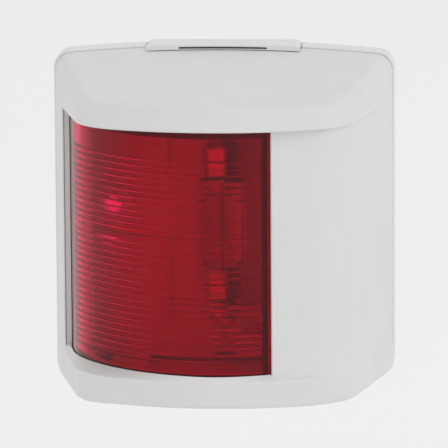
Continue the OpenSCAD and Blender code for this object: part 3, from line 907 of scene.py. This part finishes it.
base = rings(loft_case([(1.2, 1.5), (1.2, 0.15), (1.05, 0.0), (0.35, 0.0), (0.1, 0.1), (0.0, 0.35), (0.0, 5.5), (0.04, 5.7), (0.16, 5.88),
                        (0.35, 6.0), (1.05, 6.0), (1.16, 5.94), (1.2, 5.8), (1.2, 3.5)]))
spig = torus_rings(loft_case([(3.2, 3.4), (3.2, 8.15), (3.27, 8.33), (3.45, 8.4), (4.55, 8.4), (4.73, 8.33), (4.8, 8.15), (4.8, 3.4)]))
cut(spig, box(-50, 50, -12, -6.1, BOT_Z - 1, BOT_Z + 5.5), box(-12.2, 12.2, -10, -5.4, 30 + UP, 38 + UP))
parts = [spig]
for s in (-1, 1):
    parts.append(cyl(5, 0, 5.5, along_y(27 * s, 0), 56, 0.25))
parts.append(cyl(6.2, 0, 3.6, along_y(GROM_X, GROM_Z), 56, 0.05))
for s in (-1, 1):
    parts.append(cyl(3.2, 3.4, 8, along_y(0, BULB_Z + s * TERM_DZ), 48, 0.1))
    parts.append(cyl(3.6, 3.4, 8, along_y(TERM_X, BULB_Z + s * TERM_DZ), 48, 0.1))
    parts.append(box(0, TERM_X, -8 + 0.001, -3.4, BULB_Z + s * TERM_DZ - 1, BULB_Z + s * TERM_DZ + 1))
for x in (-14, 30.5):
    parts.append(box(x - 0.6, x + 0.6, -5, -3.4, -27, -7, 0.1, 2))
    parts.append(box(x - 0.6, x + 0.6, -5, -3.4, 8, 27, 0.1, 2))
for s in (-1, 1):
    x0, x1 = sorted((s * 18, s * 22))
    parts.append(box(x0, x1, AX_Y, -5, BOT_Z + 0.2, BOT_Z + 1.2))
    parts.append(rod_x(1.9, x0, x1, 0.12))
    x0, x1 = sorted((s * 21.9, s * 26.5))
    parts.append(rod_x(PIN_R, x0, x1, 0.2))
TAB = [(x, z + UP) for x, z in tab_outline()]
TAB_R = [0.1] + [0] * 23 + [0.1, 0.25, 0.4, 0.4, 0.25]
ridge = prism(round_poly(TAB, TAB_R, 4), 0, -1.0, "y", 0.12)
parts.append(ridge)
for p_ in parts:
    union(base, p_)
cut(base, prism([(x, z + UP) for x, z in [(-18.3, 36.0), (-18.3, 38.6), (18.3, 38.6), (18.3, 36.0)]][::-1], -1.0, -7.0, "y"))
for s in (-1, 1):
    cut(base, cyl(2.25, -1, 7, along_y(27 * s, 0), 48))
cut(base, cyl(4.6, -1, 7, along_y(GROM_X, GROM_Z), 48))
for s in (-1, 1):
    cut(base, cyl(1.25, 4.4, 9, along_y(0, BULB_Z + s * TERM_DZ), 32), cyl(2.2, 4, 9, along_y(TERM_X, BULB_Z + s * TERM_DZ), 32))
cut(base, box(-2.5, 2.5, -6.2, -3.5, BOT_Z + 3, BOT_Z + 5.2))
finish_piece(base, "base_moulding", "base", M_WHITE, "base_plate")

# ================================================================== the catch
tab = prism(round_poly(TAB, TAB_R, 4), -1.02, -TAB_FRONT, "y", 0.22, 4)
hook = prism([(y, z + UP) for y, z in [(-8.6, 37.2), (-8.5, 36.2), (-8.1, 35.75), (-7.45, 35.7), (-7.4, 37.2)]], -8, 8, "x", 0.08, 2)
union(tab, hook)
slit = [(x, 37.3 + UP - x * x / 900) for x in np.linspace(-10.3, 10.3, 15)] + [(x, 37.78 + UP - x * x / 900) for x in np.linspace(10.3, -10.3, 15)]
cut(tab, prism(slit, -TAB_FRONT - 1, -3.6, "y"), box(-15, 15, -2.6, -1.4, 35.9 + UP, 37.2 + UP, 0.2, 2))
finish_piece(tab, "catch", "catch", M_WHITE, "catch_tab")

# ================================================================== rubber and metal inside the base
gas = torus_rings([case_ring(o, -y, max(0.6, 4 - o), max(0.5, 3 - o)) for o, y in
                   [(1.3, 0.1), (1.4, 0.0), (5.9, 0.0), (6.0, 0.1), (6.0, 1.4), (5.9, 1.5), (4.6, 1.5), (4.4, 1.35), (3.0, 1.35), (2.8, 1.5), (1.4, 1.5), (1.3, 1.4)]])
finish_piece(gas, "back_gasket", "base", M_RUBBER, "mounting_gasket")
sl = torus_rings([case_ring(o, -y, max(0.6, 4 - o), max(0.5, 3 - o)) for o, y in
                  [(1.22, 3.52), (3.18, 3.52), (3.18, 5.5), (3.05, 5.8), (2.7, 6.03), (2.2, 6.1), (1.7, 6.03), (1.35, 5.8), (1.22, 5.5)]])
finish_piece(sl, "case_seal", "base", M_SEAL, "body_seal")
gr = round_poly([(3.25, 0), (4.6, 0), (4.6, 3.62), (6.6, 3.62), (6.6, 5), (3.25, 5)], [0.3, 0.25, 0.0, 0.35, 0.5, 0.5], 4)
gro = revolve(gr, 72, along_y(GROM_X, GROM_Z))
finish_piece(gro, "grommet", "base", M_RUBBER, "cable_grommet")


def contact(s):
    """One bulb contact: riveted foot, bend, arm with the bulb's hole, and a turned-up lead-in; the terminal's tongue beside it."""
    z0 = 19.4
    path = bend_path([(-8.2, 29.0), (-8.2, z0), (-18.6, z0), (-21.4, z0 + 1.5)], 1.0, 6)
    # dense along the arm for the rounded end
    P = [path[0]]
    for p_ in path[1:]:
        k = max(1, int(np.linalg.norm(p_ - P[-1]) / 0.5))
        q0 = P[-1]
        for j in range(1, k + 1):
            P.append(q0 + (p_ - q0) * j / k)
    P = np.array(P)
    run = np.r_[0, np.cumsum(np.linalg.norm(np.diff(P, axis=0), axis=1))]
    W = []
    for p_ in P:
        w = 3.5
        if p_[0] < -15:
            f = min(1, (-15 - p_[0]) / 4.2)
            w = 1.5 + 2.0 * math.sqrt(max(0, 1 - f * f))
        W.append(w)
    o = strip(P, W, 0.38)
    moved(o, Matrix.Identity(4))
    cut(o, cyl(2.75, -1, 1, Matrix.Translation((0, -BULB_Y, z0)), 48))
    tongue = box(3.0, 14.5, -8.4, -8.0, 22.5, 28.5, 0.08, 2)
    union(o, tongue)
    for x, r in ((0, 1.27), (TERM_X, 1.7)):
        cut(o, cyl(r, 7, 9, along_y(x, TERM_DZ), 32))
    return moved(o, Matrix.Translation((0, 0, BULB_Z)) @ Matrix.Scale(s, 4, (0, 0, 1)))


finish_piece(contact(1), "contact_upper", "base", M_NICKEL, "upper_contact")
finish_piece(contact(-1), "contact_lower", "base", M_NICKEL, "lower_contact")


def pair(make):
    a_, b_ = make(1), make(-1)
    return union(a_, b_)


finish_piece(pair(lambda s: revolve(rev_profile([(0, 4.6), (1.25, 4.6), (1.25, 8.4), (2.2, 8.4), (2.2, 8.75), (1.7, 9.1), (0.9, 9.1), (0.75, 8.85), (0, 8.8)],
                                                [0, 0.1, 0, 0.05, 0.15, 0.2, 0.08, 0.08, 0]), 40, along_y(0, BULB_Z + s * TERM_DZ))),
             "contact_rivet_pair", "base", M_BRASS, "contact_rivets")
finish_piece(pair(lambda s: revolve([(0, 4.0), (2.1, 4.0), (2.2, 4.1), (2.2, 5.2), (2.02, 5.35), (2.02, 6.3), (2.2, 6.45), (2.2, 7.9), (2.1, 8.0), (1.6, 8.0), (1.5, 7.9), (1.5, 4.4), (0, 4.4)],
                                    40, along_y(TERM_X, BULB_Z + s * TERM_DZ))),
             "terminal_insert_pair", "base", M_BRASS, "terminal_inserts")


def clamp(s):
    o = box(TERM_X - 3.2, TERM_X + 3.2, -9.0, -8.42, s * TERM_DZ - 3.2, s * TERM_DZ + 3.2, 0.14, 3)
    cut(o, cyl(1.62, 8, 10, along_y(TERM_X, s * TERM_DZ), 32))
    for k in (-2.55, 2.55):
        cut(o, box(TERM_X + k - 0.12, TERM_X + k + 0.12, -9.2, -8.88, s * TERM_DZ - 4, s * TERM_DZ + 4))
    return moved(o, Matrix.Translation((0, 0, BULB_Z)))


finish_piece(pair(clamp), "terminal_clamp_pair", "base", M_STEEL, "terminal_clamps")


def screw(s):
    P = [(0, 4.9), (1.15, 4.9)]
    z = 5.1
    while z < 8.6:
        P += [(1.2, z), (1.47, z + 0.2), (1.47, z + 0.26), (1.2, z + 0.46)]
        z += 0.5
    P += [(1.47, 8.75), (1.47, 9.0), (2.7, 9.0), (2.8, 9.1), (2.8, 10.0), (2.72, 10.3), (2.5, 10.55), (2.1, 10.74), (1.5, 10.79), (0, 10.8)]
    o = revolve(P, 44, along_y(TERM_X, BULB_Z + s * TERM_DZ))
    M = Matrix.Translation((TERM_X, 0, BULB_Z + s * TERM_DZ)) @ Matrix.Rotation(math.radians(s * 25), 4, "Y")
    cut(o, moved(box(-4, 4, -11.2, -9.9, -0.4, 0.4), M))
    return o


finish_piece(pair(screw), "terminal_screw_pair", "base", M_STEEL, "terminal_screws")

# ================================================================== the bulb
BM = Matrix.Translation((0, -BULB_Y, BULB_Z))


def glass_side(o):
    """Half profile of the glass, from the middle up: (radius, height)."""
    r = 5.5 - o
    P = [(r, 0), (r, 3), (r, 6), (r, 7.6)]
    c = (2.5, 8.2)
    for k in range(1, 9):
        f = math.pi / 2 * k / 8
        P.append((c[0] + o * 0 + (3 - o) * math.cos(f), 8.2 + (3 - o) * math.sin(f)))
    n = 3.85 - o
    P = [p for p in P if p[0] > n + 0.05]
    P += [(n + 0.02, 11.05 - o * 0.4), (n, 11.4), (n, 13.8 - o)]
    return P


def glass_profile(o):
    U = glass_side(o)
    D_ = [(r, -z) for r, z in U[1:]][::-1]
    return [(0, -(13.8 - o))] + D_ + U + [(0, 13.8 - o)]


g = revolve(glass_profile(0.0), 72, BM)
cut(g, revolve(glass_profile(0.6), 72, BM))
finish_piece(g, "glass_envelope", "bulb", M_GLASS, "bulb_glass", angle=40)


def bulb_cap(s):
    P = [(3.95, 11.4), (4.2, 11.4), (4.25, 11.5), (4.25, 12.2), (4.12, 12.35), (4.12, 12.6), (4.25, 12.75), (4.25, 17.4), (4.1, 17.75), (3.7, 18.05), (1.6, 19.95), (1.3, 20.2), (1.1, 20.36), (0.8, 20.47), (0, 20.5),
         (0, 19.9), (0.9, 19.9), (3.6, 17.6), (3.95, 17.2)]
    o = revolve(P, 64)
    return moved(o, BM @ Matrix.Scale(s, 4, (0, 0, 1)))


finish_piece(bulb_cap(1), "cap_upper", "bulb", M_CAP, "bulb_upper_cap")
finish_piece(bulb_cap(-1), "cap_lower", "bulb", M_CAP, "bulb_lower_cap")

turns, wire = 22, 0.085
TT = np.linspace(0, 1, turns * 14 + 1)
H = np.c_[0.36 * np.cos(2 * math.pi * turns * TT), 0.36 * np.sin(2 * math.pi * turns * TT), -4.4 + 8.8 * TT]
fil = moved(tube(H, wire, 7), BM)
finish_piece(fil, "filament_coil", "bulb", M_TUNG, "bulb_filament", angle=60)


def lead(s):
    P = bend_path([(0.0, 0.0, 4.62), (0.0, 0.0, 6.4), (0.1, 0.0, 8.8), (0.0, 0.0, 12.9)], 0.8, 6)
    o = tube(P, 0.14, 12)
    bead = revolve(rev_profile([(0, 10.6), (0.24, 10.6), (0.24, 12.4), (0, 12.4)], 0.15, 3), 16)
    union(o, bead)
    return moved(o, BM @ Matrix.Scale(s, 4, (0, 0, 1)))


finish_piece(pair(lead), "filament_lead_pair", "bulb", M_TUNG, "filament_leads")

# ================================================================== floor, light, camera
for o in list(work.objects):
    bpy.data.objects.remove(o)
bpy.data.collections.remove(work)


def stage_sheet():
    """Pale studio sheet: a floor well under the light that sweeps up behind it."""
    prof = []
    zf, yb, r = -0.11, 1.7, 0.6
    prof.append((-2.2, zf))
    prof.append((yb - r, zf))
    for k in range(1, 13):
        f = math.pi / 2 * k / 12
        prof.append((yb - r + r * math.sin(f), zf + r - r * math.cos(f)))
    prof.append((yb, 1.9))
    V, F = [], []
    for x in (-2.2, 2.2):
        V += [(x, y, z) for y, z in prof]
    n = len(prof)
    for i in range(n - 1):
        F.append((i, i + 1, n + i + 1, n + i))
    me = bpy.data.meshes.new("studio_sheet")
    me.from_pydata(V, [], F)
    for p in me.polygons:
        p.use_smooth = True
    o = bpy.data.objects.new("studio_sheet", me)
    bpy.context.scene.collection.objects.link(o)
    m = mat("studio_paper", (0.958, 0.958, 0.958), (0.953, 0.953, 0.953), rough=0.9, rough_var=0.03, scale=3, grain=400, bump=0.0)
    me.materials.append(m)
    return o


stage_sheet()

world = bpy.data.worlds.new("studio")
bpy.context.scene.world = world
world.use_nodes = True
bg = world.node_tree.nodes["Background"]
bg.inputs[0].default_value = (1, 1, 1, 1)
bg.inputs[1].default_value = 0.87


def area(name, loc, target, size, power, color=(1, 1, 1)):
    d = bpy.data.lights.new(name, "AREA")
    d.shape = "RECTANGLE"
    d.size, d.size_y = size
    d.energy = power
    d.color = color
    o = bpy.data.objects.new(name, d)
    o.location = loc
    v = Vector(target) - Vector(loc)
    o.rotation_euler = v.to_track_quat("-Z", "Y").to_euler()
    bpy.context.scene.collection.objects.link(o)
    return o


area("key", (0.98, -0.75, 0.60), (0, -0.02, 0), (1.5, 1.1), 3.0)

AZ, EL, ROLL, DIST = math.radians(3.97), math.radians(10.76), math.radians(-0.38), 1.200
back = Vector((math.sin(AZ) * math.cos(EL), -math.cos(AZ) * math.cos(EL), math.sin(EL)))
target = Vector((0.00081, -0.020, -0.00101))
cam = bpy.data.cameras.new("cam")
cam.lens = 413.9
cam.sensor_width = 36.0
cam.clip_start, cam.clip_end = 0.01, 20.0
bpy.context.scene.view_settings.view_transform = "Standard"
co = bpy.data.objects.new("cam", cam)
co.location = target + back * DIST
q = (-back).to_track_quat("-Z", "Y")
co.rotation_euler = (q.to_matrix() @ Matrix.Rotation(ROLL, 3, "Z")).to_euler()
bpy.context.scene.collection.objects.link(co)
bpy.context.scene.camera = co
